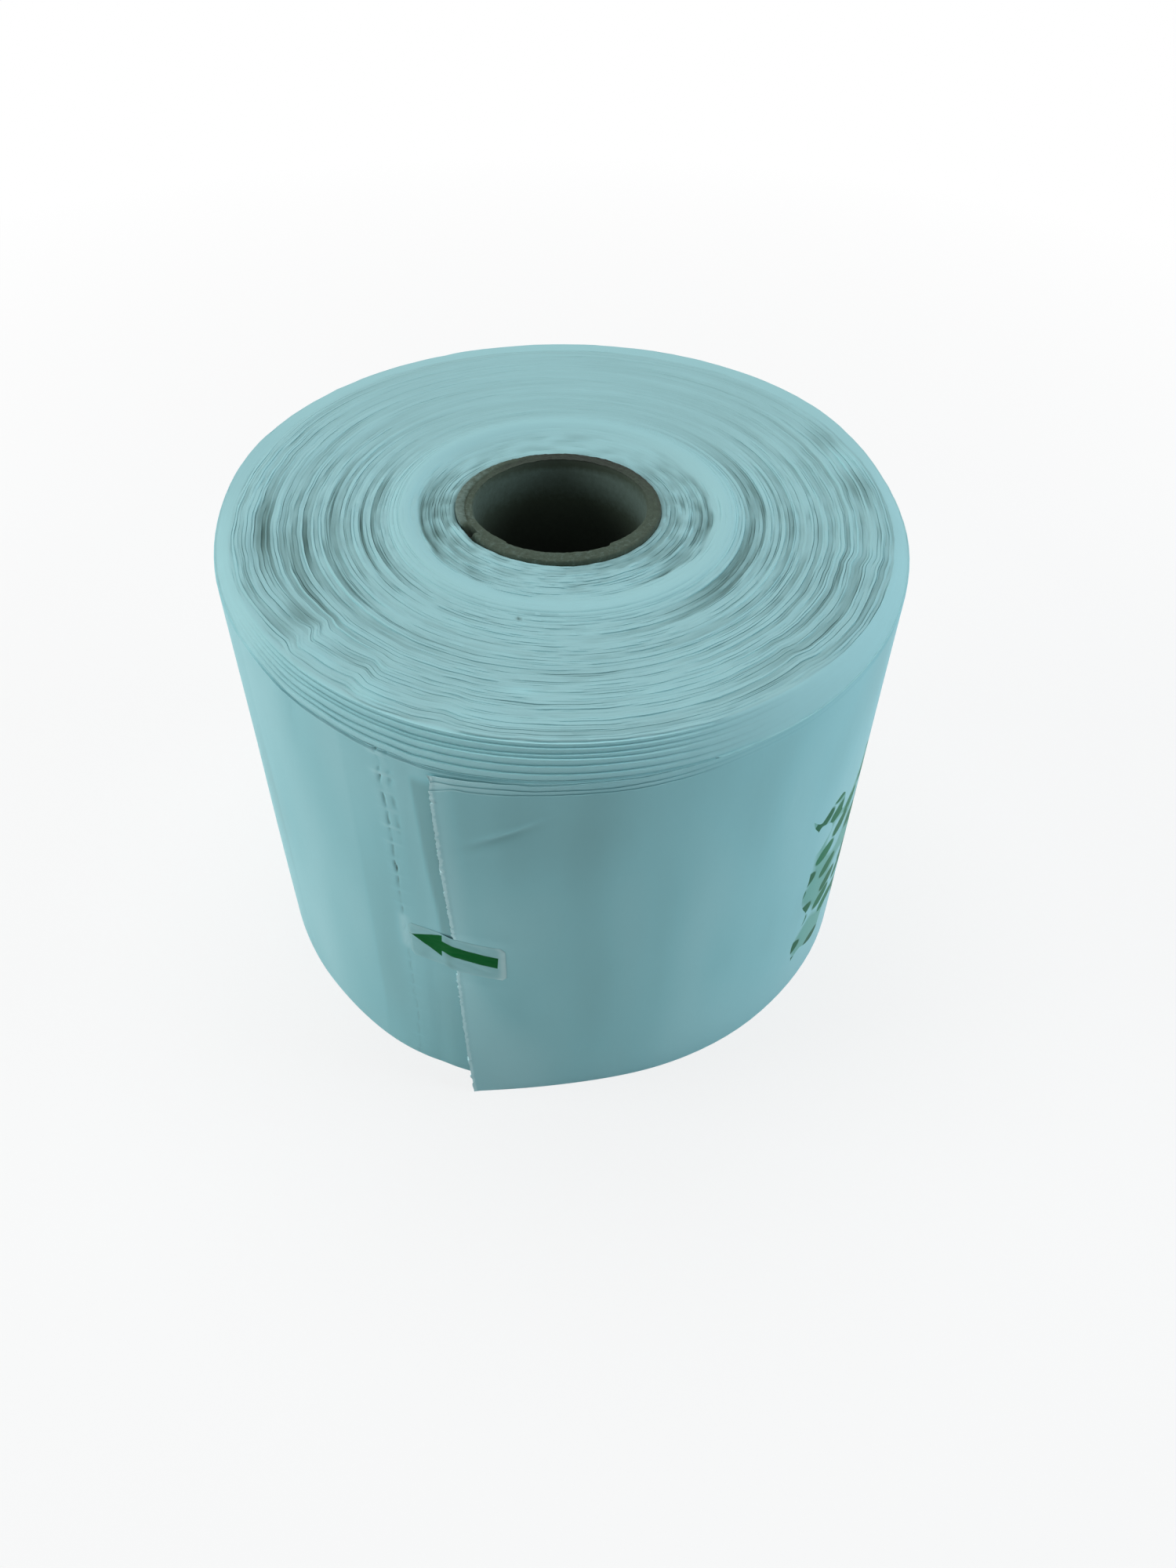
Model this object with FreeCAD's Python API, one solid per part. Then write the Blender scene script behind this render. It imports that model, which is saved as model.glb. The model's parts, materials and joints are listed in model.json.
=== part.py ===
import FreeCAD, Part
import math
import os

# Roll of t-shirt carrier bags: flat-folded film bags, joined end to end by perforations,
# wound on a paperboard tube and closed with a strip of tape.
# The roll stands on one end: its axis is Z, the floor is Z = 0 and the loose end faces -Y.
# Angles are in degrees seen from above, from the front (-Y) round to the right (+X).
# Millimetres throughout.

Vec = FreeCAD.Vector

# The wound film
roll_radius = 75.0        # to the outside of the last turn
bag_width = 100.0         # of a folded bag, which is the height of every turn
turn_thickness = 0.45     # of one folded bag as it lies in the roll
ply_drops = (1.9, 0.8, 0.0)   # how far its plies have slid down at the top, from the outer one
turn_slack = 0.15         # air between the last turn and the one under it
edge_crush = 0.7          # how far the roll's weight can press film edges flush on the floor

# The last turns slid down the roll as they were wound: how far the top edge of each lies
# under the crown, from the last turn inwards
turn_drops = (11.0, 10.35, 7.9, 5.0, 1.65)

# The end face wanders as the film was wound, with a ridge and a groove near the tube: share
# of the way from the tube out to the shoulder, and height over the crown there
face_wander = ((0.00, -0.5), (0.16, 0.0), (0.28, 0.7), (0.36, -1.3), (0.44, 0.0), (1.00, 0.0))
shoulder_round = 1.2      # the crown's outer edge, worn round

# The paperboard tube
core_bore = 38.0          # inside diameter
core_wall = 3.0
core_proud = 1.0          # of the tube's top over the crown
core_rim_wear = 0.6       # rounding of the tube's four rim edges
core_fit = 0.05           # play between tube and film, on radius
core_ply = 1.1            # thickness of the outer ply, which has come loose at the rim
ply_end_angle = -64.0     # where that ply ends
ply_end_gap = 2.0         # between its end and the rest, round the rim
ply_end_depth = 2.2       # down from the rim

# The loose end of the last bag
tail_angle = -18.0        # where its edge lies under the tape
flap_length = 52.4        # how much of the last turn has come off the roll
corner_flare = 5.7        # how far the bottom corner stands off on the floor
corner_swing = 2.9        # degrees that the bottom corner is drawn back by it
top_lift = 1.0            # how far the top corner stands off
top_swing = -1.1          # degrees that the top corner reaches on

# The perforation between the last bag and the next, seen beside the loose end: a row up the
# whole film, and a second strike of the blade beside its upper slits
perforation_gap = 12.0    # from the loose edge to the row, round the roll
second_strike_gap = 9.8
second_strike_start = 14  # the slit of the row that it begins beside
perforation_pitch = 5.0
perforation_tie = 1.2     # film left between two slits
perforation_margin = 3.0  # from the ends of the row to the edges of the film
slit_width = 0.4
slit_depth = 0.35

# The closing tape
tape_length = 22.4        # round the roll
tape_width = 11.5         # up the roll
tape_thickness = 0.25
tape_height = 46.2        # of its middle over the floor
tape_on_film = 11.0       # of its length stuck to the turn under the loose end
tape_bridge = 2.2         # that slopes down over the loose edge

# Worked out from these
crown_height = bag_width + turn_drops[0]
hole_radius = core_bore / 2 + core_wall + core_fit
step_height = turn_thickness + turn_slack
under_radius = roll_radius - step_height
ply_thickness = turn_thickness / len(ply_drops)
root_angle = tail_angle + math.degrees(flap_length / roll_radius)
tape_bottom = tape_height - tape_width / 2
tape_top = tape_height + tape_width / 2


def at(radius, angle, height=0.0):
    """Point at a radius and an angle from the front."""
    turn = math.radians(angle)
    return Vec(radius * math.sin(turn), -radius * math.cos(turn), height)


def arc(start, middle, end):
    return Part.Arc(start, middle, end).toShape()


def line(start, end):
    return Part.LineSegment(start, end).toShape()


def arc_about(centre, start, end):
    """Shorter arc from start to end about a centre that is equally far from both."""
    half_way = (start - centre) + (end - centre)
    half_way.normalize()
    return arc(start, centre + half_way * start.distanceToPoint(centre), end)


def revolved(profile, sweep=360):
    """Solid of revolution about Z from (radius, height) points."""
    points = [Vec(radius, 0, height) for radius, height in profile]
    face = Part.Face(Part.makePolygon(points + points[:1]))
    return face.revolve(Vec(0, 0, 0), Vec(0, 0, 1), sweep)


def ply_end():
    """The gap at the rim where the tube's outer ply ends."""
    outer = core_bore / 2 + core_wall
    inner = outer - core_ply
    top = crown_height + core_proud
    bottom = top - ply_end_depth
    sweep = math.degrees(ply_end_gap / outer)
    gap = revolved([(inner, bottom), (outer + 1, bottom), (outer + 1, top + 1), (inner, top + 1)],
                   sweep)
    gap.rotate(Vec(0, 0, 0), Vec(0, 0, 1), ply_end_angle - 90 - sweep / 2)
    return gap


def core_tube():
    """The tube, cut to the width of the film."""
    inner = core_bore / 2
    outer = inner + core_wall
    top = crown_height + core_proud
    bottom = top - bag_width
    wear = core_rim_wear
    tube = revolved([
        (inner + wear, bottom), (outer - wear / 2, bottom), (outer, bottom + wear),
        (outer, top - wear), (outer - wear / 2, top), (inner + wear, top),
        (inner, top - wear), (inner, bottom + wear),
    ])
    return tube.cut(ply_end())


def shoulder_radius(turn):
    """Outside of a turn, counted inwards from the last one, which is turn 0."""
    return under_radius - turn * turn_thickness


def end_profile():
    """(radius, height) points along the roll's end, from the tube out to the last turn."""
    edge = shoulder_radius(len(turn_drops))
    depth = edge - shoulder_round - hole_radius
    points = [(hole_radius + share * depth, crown_height + rise) for share, rise in face_wander]
    for step in (45, 90):
        turn = math.radians(step)
        points.append((edge - shoulder_round * (1 - math.sin(turn)),
                       crown_height - shoulder_round * (1 - math.cos(turn))))
    for turn in range(len(turn_drops) - 1, 0, -1):
        height = crown_height - turn_drops[turn]
        points.append((shoulder_radius(turn + 1), height))
        points.append((shoulder_radius(turn), height))
    return points


def crown():
    """The inner turns above the last one: terraces at the shoulder, then the worn face."""
    profile = end_profile()
    mid_height = bag_width / 2
    return revolved([(hole_radius, mid_height)] + profile + [(profile[-1][0], mid_height)])


def underside():
    """The space under the roll: every turn is as wide as a bag, so what stands proud at the
    top is drawn in at the bottom, and only the outer turns reach the floor."""
    below = 1.0
    hollow = []
    for radius, top in end_profile():
        lift = top - bag_width
        if lift < edge_crush:
            break
        hollow.append((radius, lift))
    floor_ring = hollow[-1][0]
    return revolved([(0, -below), (0, crown_height), (hole_radius, crown_height)]
                    + hollow + [(floor_ring, -below)])


def flap_flare(height):
    """How far the loose end stands off at a height, and the angle of its edge there."""
    if height < tape_bottom:
        share = ((tape_bottom - height) / tape_bottom) ** 2
        return corner_flare * share, tail_angle + corner_swing * share
    if height > tape_top:
        share = ((height - tape_top) / (bag_width - tape_top)) ** 2
        return top_lift * share, tail_angle + top_swing * share
    return 0.0, tail_angle


def wound_turns(inset, bottom, top):
    """The last turns as a prism, inset by the plies that end lower. The last turn goes from
    the root of the loose end round the back, comes in by its own thickness, and carries on
    under the loose end to its root."""
    round_angle = tail_angle + 360
    outside = roll_radius - inset
    angles = [root_angle + (round_angle - root_angle) * part / 4 for part in range(5)]
    root, left, back, right, under = [
        at(outside - step_height * part / 4, angle, bottom) for part, angle in enumerate(angles)]
    crotch = at(under_radius - inset, root_angle, bottom)
    outline = Part.Wire([
        arc(root, left, back),
        arc(back, right, under),
        arc_about(Vec(0, 0, bottom), under, crotch),
        line(crotch, root),
    ])
    return Part.Face(outline).extrude(Vec(0, 0, top - bottom))


def loose_end_section(height, inset):
    """Section of the loose end at a height: it leaves the roll on an arc that is tangent to
    it at the root, and is as thick as a folded bag, less the plies that end lower."""
    flare, edge_angle = flap_flare(height)
    tip_radius = roll_radius + flare
    opening = math.cos(math.radians(root_angle - edge_angle))
    shift = (tip_radius ** 2 - roll_radius ** 2) / (2 * (roll_radius - tip_radius * opening))
    bend_centre = at(-shift, root_angle, height)
    tip = at(tip_radius, edge_angle, height)
    inward = bend_centre - tip
    inward.normalize()
    tip_outside = tip + inward * inset
    tip_inside = tip + inward * turn_thickness
    root_outside = at(roll_radius - inset, root_angle, height)
    root_inside = at(roll_radius - turn_thickness, root_angle, height)
    return Part.Wire([
        arc_about(bend_centre, tip_outside, root_outside),
        line(root_outside, root_inside),
        arc_about(bend_centre, root_inside, tip_inside),
        line(tip_inside, tip_outside),
    ])


def loose_end(inset, heights):
    """The loose end, lofted up the roll through its sections."""
    return Part.makeLoft([loose_end_section(height, inset) for height in heights], True, False)


def last_turn():
    """The last turn with its loose end, which is flared at the floor, held flat under the tape
    and a little open at the top. Its plies end in steps there."""
    below_tape = [tape_bottom * part / 3 for part in range(3)]
    ply_tops = [bag_width - drop for drop in ply_drops]
    heights = below_tape + [tape_bottom, tape_top, (tape_top + ply_tops[0]) / 2, ply_tops[0]]
    pieces = [wound_turns(0, 0, ply_tops[0]), loose_end(0, heights)]
    for number in range(1, len(ply_tops)):
        inset = number * ply_thickness
        bottom, top = ply_tops[number - 1:number + 1]
        pieces += [wound_turns(inset, bottom, top), loose_end(inset, [bottom, top])]
    return pieces[0].fuse(pieces[1:])


def perforation():
    """Slits of the perforation, upright along the edge of the next bag."""
    slit_length = perforation_pitch - perforation_tie
    count = int((bag_width - 2 * perforation_margin) / perforation_pitch)
    start = (bag_width - count * perforation_pitch + perforation_tie) / 2
    slits = []
    for gap, first in ((perforation_gap, 0), (second_strike_gap, second_strike_start)):
        angle = tail_angle - math.degrees(gap / roll_radius)
        for index in range(first, count):
            slit = Part.makeBox(slit_width, 2 * slit_depth, slit_length)
            slit.translate(Vec(-slit_width / 2, -under_radius - slit_depth,
                               start + index * perforation_pitch))
            slit.rotate(Vec(0, 0, 0), Vec(0, 0, 1), angle)
            slits.append(slit)
    return Part.makeCompound(slits)


def bag_web():
    return last_turn().fuse(crown()).cut(underside()).cut(perforation())


def closing_tape(web):
    """Tape over the loose edge, bedded on the film under it."""
    degrees = 180 / math.pi / roll_radius
    film_end = tail_angle - tape_on_film * degrees
    bridge_end = tail_angle - tape_bridge * degrees
    edge_side = tail_angle - turn_slack * degrees
    flap_end = film_end + tape_length * degrees
    over_flap = roll_radius + tape_thickness
    over_film = under_radius + tape_thickness
    in_flap = roll_radius - turn_thickness / 2
    in_film = under_radius - turn_thickness / 2
    axis = Vec(0, 0, 0)
    outline = Part.Wire([
        arc_about(axis, at(over_flap, flap_end), at(over_flap, tail_angle)),
        line(at(over_flap, tail_angle), at(over_film, bridge_end)),
        arc_about(axis, at(over_film, bridge_end), at(over_film, film_end)),
        line(at(over_film, film_end), at(in_film, film_end)),
        arc_about(axis, at(in_film, film_end), at(in_film, edge_side)),
        line(at(in_film, edge_side), at(in_flap, edge_side)),
        arc_about(axis, at(in_flap, edge_side), at(in_flap, flap_end)),
        line(at(in_flap, flap_end), at(over_flap, flap_end)),
    ])
    outline.translate(Vec(0, 0, tape_bottom))
    strip = Part.Face(outline).extrude(Vec(0, 0, tape_width))
    return strip.cut(web)


def save(node, shape):
    """One solid to parts/, with a line on what it measures."""
    solids = shape.Solids
    assert len(solids) == 1 and shape.isValid(), node
    solid = solids[0]
    solid.exportStep("parts/" + node + ".step")
    box = solid.BoundBox
    print(node, "volume %.1f" % solid.Volume, "faces", len(solid.Faces),
          "x %.2f..%.2f" % (box.XMin, box.XMax), "y %.2f..%.2f" % (box.YMin, box.YMax),
          "z %.2f..%.2f" % (box.ZMin, box.ZMax))
    return solid


os.makedirs("parts", exist_ok=True)
save("core_tube", core_tube())
web = save("bag_web", bag_web())
save("closing_tape", closing_tape(web))
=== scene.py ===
# Roll of t-shirt carrier bags standing on its end: wound film, paperboard tube, closing tape.
# Z is the roll's axis, the floor is z = 0 and the loose end of the film faces -Y.
# Sizes are in millimetres. Angles are in degrees from the front (-Y) round to the right (+X);
# along the last turn they run on past 360, until it is under its own loose end.
import json
import math
import random
import bmesh
import bpy
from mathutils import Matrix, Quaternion, Vector, noise


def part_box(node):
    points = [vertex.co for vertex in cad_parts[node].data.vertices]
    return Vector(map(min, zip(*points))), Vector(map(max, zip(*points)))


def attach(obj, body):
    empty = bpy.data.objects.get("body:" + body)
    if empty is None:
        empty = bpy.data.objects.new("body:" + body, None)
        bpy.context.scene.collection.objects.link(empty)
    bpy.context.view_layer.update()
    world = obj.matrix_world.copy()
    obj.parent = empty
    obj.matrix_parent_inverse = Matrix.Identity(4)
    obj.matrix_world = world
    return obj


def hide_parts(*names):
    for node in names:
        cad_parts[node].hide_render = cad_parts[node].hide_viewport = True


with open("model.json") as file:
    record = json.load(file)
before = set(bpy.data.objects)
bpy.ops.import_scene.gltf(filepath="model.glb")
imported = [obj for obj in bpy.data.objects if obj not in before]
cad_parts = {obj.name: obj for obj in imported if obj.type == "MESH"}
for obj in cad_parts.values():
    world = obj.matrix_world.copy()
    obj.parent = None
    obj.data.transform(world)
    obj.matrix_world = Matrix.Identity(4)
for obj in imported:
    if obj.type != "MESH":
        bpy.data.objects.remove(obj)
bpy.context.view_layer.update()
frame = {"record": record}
scene = bpy.context.scene
mm = 0.001


# Sizes read from the construction
def boxOf(node):
    low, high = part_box(node)
    return low / mm, high / mm


webHigh = boxOf("bag_web")[1]
tubeLow, tubeHigh = boxOf("core_tube")
tapeLow, tapeHigh = boxOf("closing_tape")
bore = next(m for m in frame["record"]["mounts"] if m["name"] == "core_bore")

build = {
    "turnStep": 0.6,        # the last turn comes in by this much on its way round
    "turnThickness": 0.45,  # of one folded bag
    "slack": 0.12,          # by which the turn under the loose end lies closer to it
    "slackFrom": (330, 345),
    "tubeProud": 1.0,       # of the tube over the crown of the film
    "tubePlay": 0.05,
    "tailAngle": -18.0,     # where the loose edge lies under the tape
    "rootAngle": 22.0,      # where the loose end leaves the roll
}
crownHeight = tubeHigh.z - build["tubeProud"]
holeRadius = tubeHigh.x + build["tubePlay"]
fullTurn = build["tailAngle"] + 360
inwardPerDegree = build["turnStep"] / (fullTurn - build["rootAngle"])
rollRadius = webHigh.x + inwardPerDegree * (90 - build["rootAngle"])
tubeRadius = tubeHigh.x
boreRadius = bore["dims"]["r_mm"]
bagWidth = tubeHigh.z - tubeLow.z


def ease(x, start, end):            # 0 before start, 1 after end, smooth between them
    share = min(1, max(0, (x - start) / (end - start)))
    return share * share * (3 - 2 * share)


def bell(x, width):
    return math.exp(-(x / width) ** 2)


def through(points, x):             # smooth steps through (x, value) points
    for (start, low), (end, high) in zip(points, points[1:]):
        if x <= end:
            return low + (high - low) * ease(x, start, end)
    return points[-1][1]


def apart(angle, other):            # degrees from the other angle, the short way round
    return (angle - other + 180) % 360 - 180


def onRoll(radius, angle, height):
    turn = math.radians(angle)
    return Vector((radius * math.sin(turn), -radius * math.cos(turn), height)) * mm


def arc(degrees):                   # mm round the outside of the roll
    return math.radians(degrees) * rollRadius


def ripple(x, y, seed=0.0):         # smooth noise
    return noise.noise(Vector((x, y, seed)))


def wander(angle, height, bends, seed):   # smooth noise that meets itself after a full turn
    turn = math.radians(angle)
    return ripple(bends * math.sin(turn) + seed, bends * math.cos(turn), height)


def windIn(angle):                  # how far the last turn has come in on its way round
    share = (angle - build["rootAngle"]) / (fullTurn - build["rootAngle"])
    slack = build["slack"] * ease(angle, *build["slackFrom"])
    return build["turnStep"] * min(1, max(0, share)) - slack


def linear(hexColour):
    parts = [int(hexColour[i:i + 2], 16) / 255 for i in (1, 3, 5)]
    return [p / 12.92 if p <= 0.04045 else ((p + 0.055) / 1.055) ** 2.4 for p in parts] + [1.0]


# One node: settings are its properties, links its inputs from other nodes (their first output,
# or the one given), and the rest are values for its inputs, by name or as i and a number
def addNode(tree, kind, settings=(), links=(), **inputs):
    made = tree.nodes.new("ShaderNode" + kind)
    for name, value in dict(settings).items():
        setattr(made, name, value)
    for name, value in inputs.items():
        socket = int(name[1:]) if name[1:].isdigit() else name.replace("_", " ")
        made.inputs[socket].default_value = value
    for socket, source in dict(links).items():
        output = source.outputs[0] if isinstance(source, bpy.types.Node) else source
        tree.links.new(output, made.inputs[socket])
    return made


def makeMaterial(name, addShader):
    material = bpy.data.materials.new(name)
    material.use_nodes = True
    tree = material.node_tree
    tree.nodes.clear()
    addNode(tree, "OutputMaterial", links={"Surface": addShader(tree)})
    return material


def addObject(name, data):
    made = bpy.data.objects.new(name, data)
    scene.collection.objects.link(made)
    return made


def addMesh(name, bm, look):  # look is its material's name and what adds its shader
    mesh = bpy.data.meshes.new(name)
    bm.to_mesh(mesh)
    bm.free()
    mesh.materials.append(makeMaterial(*look))
    return addObject(name, mesh)


def finishPiece(name, bm, look, node, sharp):
    bmesh.ops.recalc_face_normals(bm, faces=bm.faces)
    piece = addMesh(name, bm, look)
    mesh = piece.data
    mesh.shade_smooth()
    mesh.set_sharp_from_angle(angle=math.radians(sharp))
    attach(piece, "root")
    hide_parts(node)
    print(name, "made with", sum(len(f.vertices) - 2 for f in mesh.polygons), "triangles")


# A grid closed both ways into a ring-shaped skin. place gives each point's position and two
# values that the materials read: its shade, where 0 is the darkest, 0.5 plain and 1 the palest,
# which carries painted light and painted shade as well as tone, and how strong the grain is.
def bendRing(columns, rows, place):
    bm = bmesh.new()
    bmesh.ops.create_grid(bm, x_segments=columns, y_segments=rows, size=0.5)
    shade = bm.verts.layers.float.new("shade")
    grain = bm.verts.layers.float.new("grain")
    for vert in bm.verts:
        column = round((vert.co.x + 0.5) * columns)
        row = round((vert.co.y + 0.5) * rows)
        vert.co, vert[shade], vert[grain] = place(column % columns, row % rows)
    bmesh.ops.remove_doubles(bm, verts=bm.verts, dist=0.0005 * mm)
    return bm


# A grid with a thickness, open at both ends. place also says if the point is on the back.
def bendSheet(columns, rows, place, mapName):
    bm = bmesh.new()
    bmesh.ops.create_grid(bm, x_segments=columns, y_segments=rows, size=0.5)
    shade = bm.verts.layers.float.new("shade")
    back = bmesh.ops.extrude_face_region(bm, geom=bm.faces[:], use_keep_orig=True)
    onBack = {part for part in back["geom"] if isinstance(part, bmesh.types.BMVert)}
    flat = {}
    for vert in bm.verts:
        column = round((vert.co.x + 0.5) * columns)
        row = round((vert.co.y + 0.5) * rows)
        vert.co, vert[shade], flat[vert] = place(column, row, vert in onBack)
    uvMap = bm.loops.layers.uv.new(mapName)
    for face in bm.faces:
        for loop in face.loops:
            loop[uvMap].uv = flat[loop.vert]
    bmesh.ops.remove_doubles(bm, verts=bm.verts, dist=0.0005 * mm)
    return bm


# The last turn, a folded bag whose plies end one under the other at the top
lastTurn = {
    "cornerFlare": 5.7,       # how far the bottom corner of the loose end stands off
    "cornerSwing": 2.9,       # degrees that it is drawn back by that
    "belly": 1.3,             # how far the loose edge stands off between the tape and the top
    "topLift": 0.35,          # and at the top
    "topSwing": -1.1,
    "ply": 0.15,              # thickness of one ply
    # angle along the turn and drop under the crown of each ply's top edge, from the outer one
    "plyTops": (
        ((-18, 12.6), (-14, 11.4), (7, 9.9), (35, 8.0), (60, 5.9), (90, 2.8), (130, -0.2),
         (190, 0.4), (250, -0.1), (290, 3.0), (304, 4.2), (318, 6.7), (333, 7.9), (339, 8.4),
         (382, 6.8)),
        ((-18, 10.5), (-5, 9.8), (3, 9.2), (35, 7.3), (60, 5.5), (90, 2.6), (130, -0.4),
         (190, 0.2), (250, -0.3), (290, 2.8), (304, 4.0), (318, 6.5), (333, 7.7), (339, 8.2),
         (382, 6.75)),
        ((-18, 9.2), (-5, 8.5), (7, 7.5), (35, 6.3), (60, 5.0), (90, 2.3), (130, -0.6),
         (190, 0.0), (250, -0.5), (290, 2.5), (304, 3.75), (318, 6.3), (333, 7.5), (339, 8.0),
         (382, 6.7)),
    ),
    "rows": 176,              # of the mesh under the stepped plies, closer together at the top
    # where the columns change width, and the degrees between them from there on
    "columns": ((-18, 0.2), (-16.2, 0.6), (6, 1.5), (24, 3.0), (296, 1.0), (328, 0.22),
                (338, 0.5), (344, 3.0), (382, 0)),
    "plyWaves": 0.14,
    "plyGroove": 0.25,        # behind the edge of each ply
    "fray": 0.6,              # of the torn edge, in degrees
    "frayWidth": 1.2,
    "frayLift": 0.15,
    "footFlare": 1.3,         # how far the film stands out at the floor, left of the loose edge
    "tapePull": 0.3,          # how far the film is drawn up round the tape
    "waves": 0.2,
    # folds of the loose end: how high or how much paler, height over the floor, slope, half
    # width, mm from the front, half length; how much paler is painted highlight and shade on them
    "folds": ((0.42, 90.15, 0.55, 0.8, -11.0, 5.6), (-0.34, 87.975, 0.55, 1.1, -11.5, 5.6),
              (0.16, 84.4, 0.4, 1.4, -13.0, 5.0), (-0.45, 88.0, 0.0, 11.0, -3.0, 9.0),
              (-0.5, 28.0, 0.0, 8.0, -6.0, 6.0)),
    "foldLightAndShade": ((0.1, 90.425, 0.55, 0.6, -10.5, 5.0), (-0.1, 88.175, 0.55, 1.1, -11.5, 5.6),
                   (-0.06, 88.0, 0.0, 13.0, -3.93, 11.78)),
    "perforationAngle": 332.8,
    "pitch": 5.0,
    "slit": 3.8,
    "rowStart": 3.0,          # of the first slit over the floor
    "secondStrike": (76, 82),    # heights over which a second row of slits begins
    # the slits, the ties between them, the lip beside them, the second slits and the film
    # between both rows: how high or how much paler, mm off the row, half width; as shade they
    # are painted shade in the slits and painted highlights on the puckered ties and lips
    "rowRelief": ((-0.25, 0.0, 0.3), (0.16, 0.3, 2.0), (0.06, -1.2, 0.9), (-0.12, 2.2, 0.6)),
    "rowLightAndShade": ((-0.5, 0.0, 0.18), (0.16, 0.3, 1.9), (0.04, -1.0, 1.0), (-0.2, 2.2, 0.5),
                  (0.04, 1.2, 0.8)),
    "shadowStripWidth": 4.7,        # of the painted shadow that the lifted loose edge casts beside it, a grey strip
    "shadowStripShade": 0.22,
    # painted shadow below the tape, beside the loose edge where its corner stands off
    "underTapeShadow": 0.05,
    "tuftWhiteAndHighlight": 0.62,         # of the torn edge, where it is stretched white, with a painted highlight on it
    "standOffLight": 0.13,      # painted light through the loose end where it stands off the roll
    # painted light bounced up from the floor onto the film low down
    "floorBounceLight": 0.07,
    "tapeEndHighlight": 0.22,      # painted highlight where the film is drawn up to the left end of the tape
    "leftPale": 0.05,
}


def looseEdge(height):        # how far the loose end stands off at a height, and its edge's angle
    low, high = tapeLow.z, tapeHigh.z
    tail = build["tailAngle"]
    if height < low:
        share = ((low - height) / low) ** 2
        return lastTurn["cornerFlare"] * share, tail + lastTurn["cornerSwing"] * share
    if height > high:
        share = (height - high) / (bagWidth - high)
        stand = lastTurn["belly"] * math.sin(math.pi * min(1, share)) ** 0.8
        return stand + lastTurn["topLift"] * share, tail + lastTurn["topSwing"] * share ** 2
    return 0.0, tail


def surfaceRadius(angle, height):   # outside of the last turn, without its small wrinkles
    stand, edge = looseEdge(height)
    radius = rollRadius - windIn(angle)
    if angle < build["rootAngle"]:
        share = (build["rootAngle"] - angle) / (build["rootAngle"] - edge)
        radius += stand * share ** 3
    return radius


# What the row of slits adds at a point; marks says how much of each thing
def perforation(angle, height, marks):
    x = arc(angle - lastTurn["perforationAngle"])
    x += 0.6 * ripple(height / 2.6, 5.0) + 0.5 * ease(height, 84, 94)
    beat = (height - lastTurn["rowStart"]) % lastTurn["pitch"]
    middle = lastTurn["slit"] / 2
    slit = 1 - ease(abs(beat - middle), middle - 0.2, middle + 0.3)
    tie = bell(beat - (lastTurn["slit"] + lastTurn["pitch"]) / 2, 0.4)
    second = ease(height, *lastTurn["secondStrike"])
    uneven = max(0.1, 0.6 + 1.3 * ripple(height / 3.4, 91.0))
    strong = (0.25 + 0.75 * ease(height, 50, 72)) * uneven
    parts = (strong * slit, strong * tie, strong, strong * slit * second, second)
    return sum(part * much * bell(x - off, half) for part, (much, off, half) in zip(parts, marks))


def folds(kinds, along, height):
    total = 0.0
    for much, level, slope, half, middle, length in kinds:
        total += (much * bell(height - level - slope * (along - middle), half)
                  * bell(along - middle, length))
    return total


def wrinkles(angle, height):
    along = arc(apart(angle, 0))
    total = lastTurn["waves"] * ripple(along / 24, height / 60, 2.0)
    if angle < 60:
        total += folds(lastTurn["folds"], along, height)
    if angle < 60 or angle > 320:
        fromTape = max(tapeLow.z - height, height - tapeHigh.z)
        total += lastTurn["tapePull"] * bell(fromTape - 2.8, 2.2) * bell(along + 18, 9)
    if 300 < angle < 345:
        total += perforation(angle, height, lastTurn["rowRelief"])
        total += lastTurn["footFlare"] * (1 - ease(height, 0, 18)) * ease(angle, 308, 332)
        total -= 0.22 * bell(angle - 316, 1.6) * bell(height - 100, 8)     # a dent at the top
        total -= 0.15 * bell(angle - 337.5, 2.0)      # and a long one beside the slits
    return total


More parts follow.
